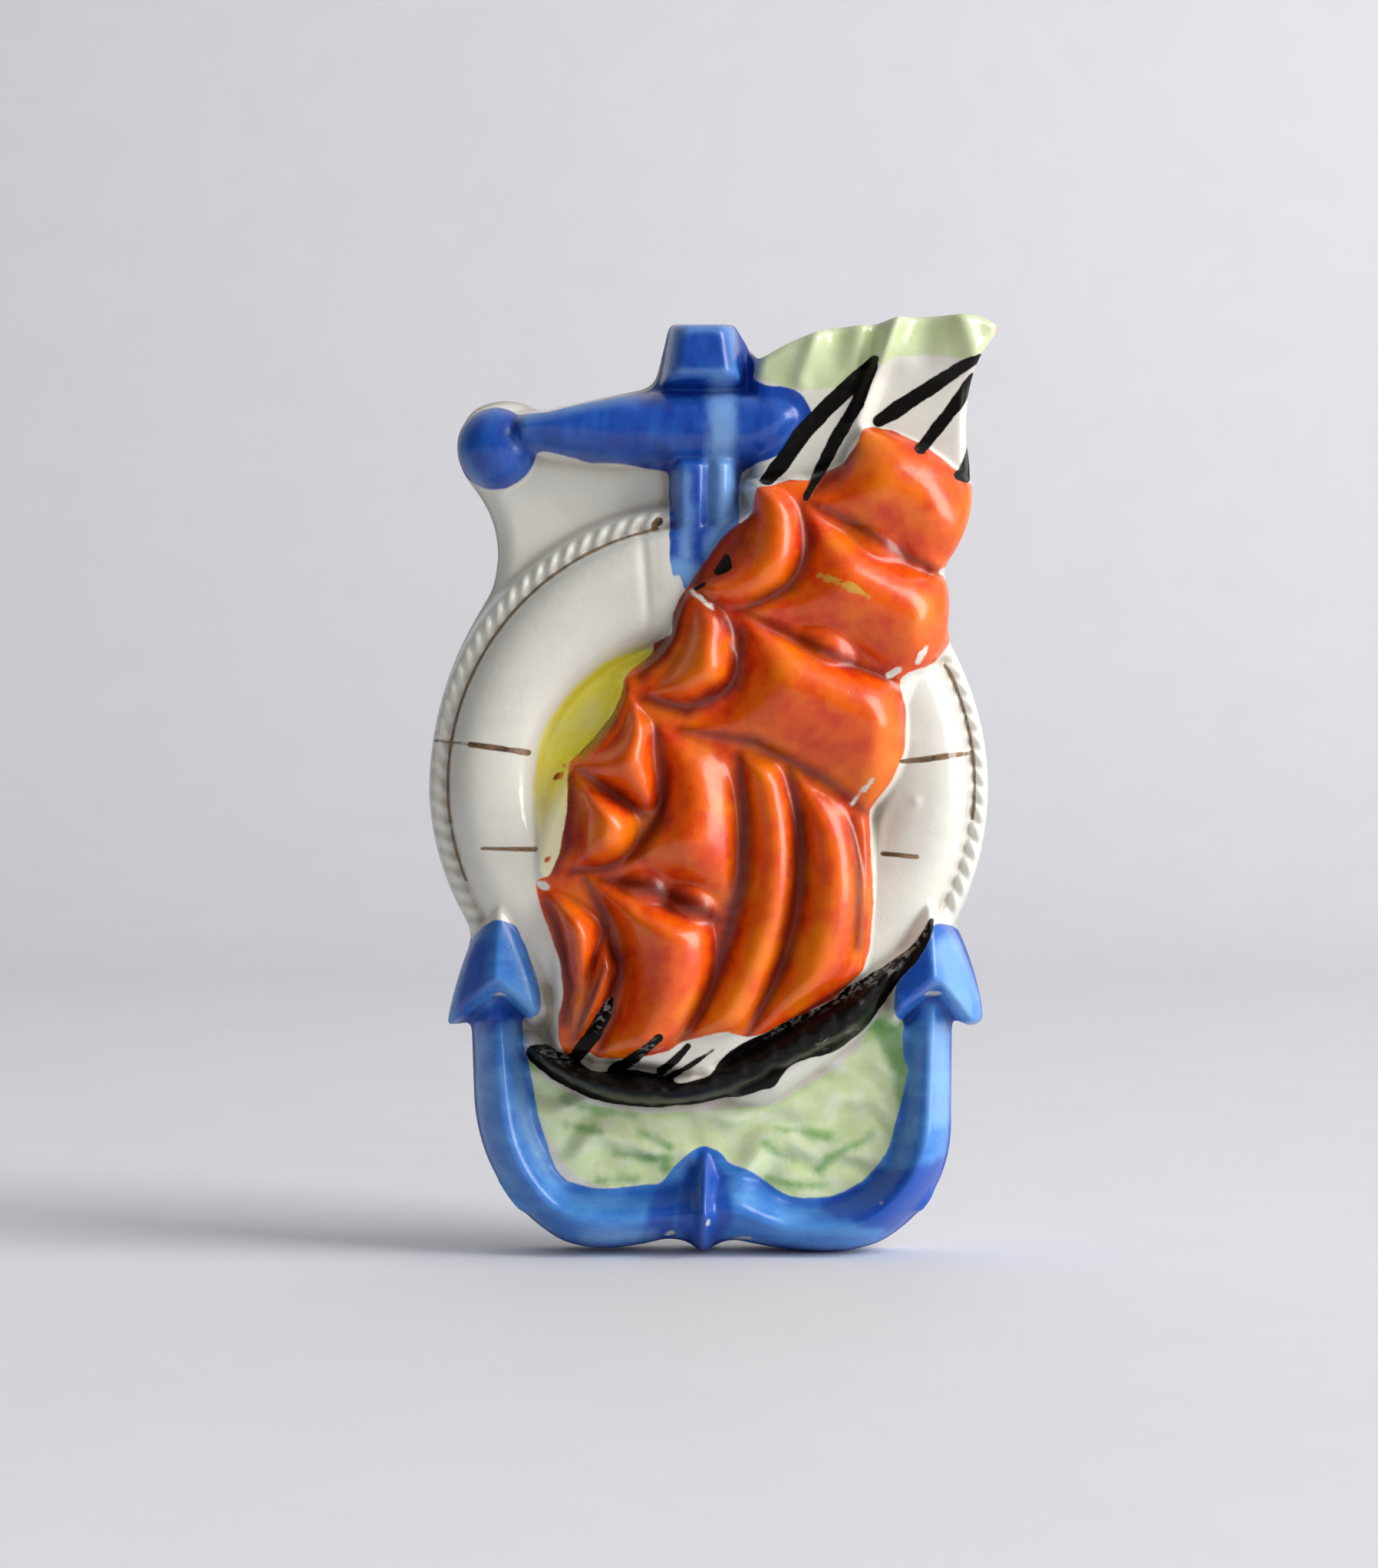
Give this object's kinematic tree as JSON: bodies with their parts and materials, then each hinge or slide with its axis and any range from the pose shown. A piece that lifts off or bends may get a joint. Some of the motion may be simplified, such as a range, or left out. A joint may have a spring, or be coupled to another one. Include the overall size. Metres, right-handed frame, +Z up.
{
  "type": "ceramic wall pocket",
  "caption": "Hollow slip-cast wall pocket with a flat back and a mouth at the top; ship, lifebelt and anchor in relief.",
  "frame": {"origin": "on the flat back, at the patch above the nail hole that bears on the wall", "axes": "+Y out of the flat back into the wall, so the relief faces -Y; +Z up; +X to the right as the front is seen"},
  "size_m": [0.1098, 0.0355, 0.1807],
  "materials": {
    "painted_glaze": "glossy clear glaze over an off-white earthenware body, painted under the glaze in blue, orange, yellow, pale green and black"
  },
  "bodies": {
    "root": {"wall_pocket": "painted_glaze"}
  },
  "joints": []
}
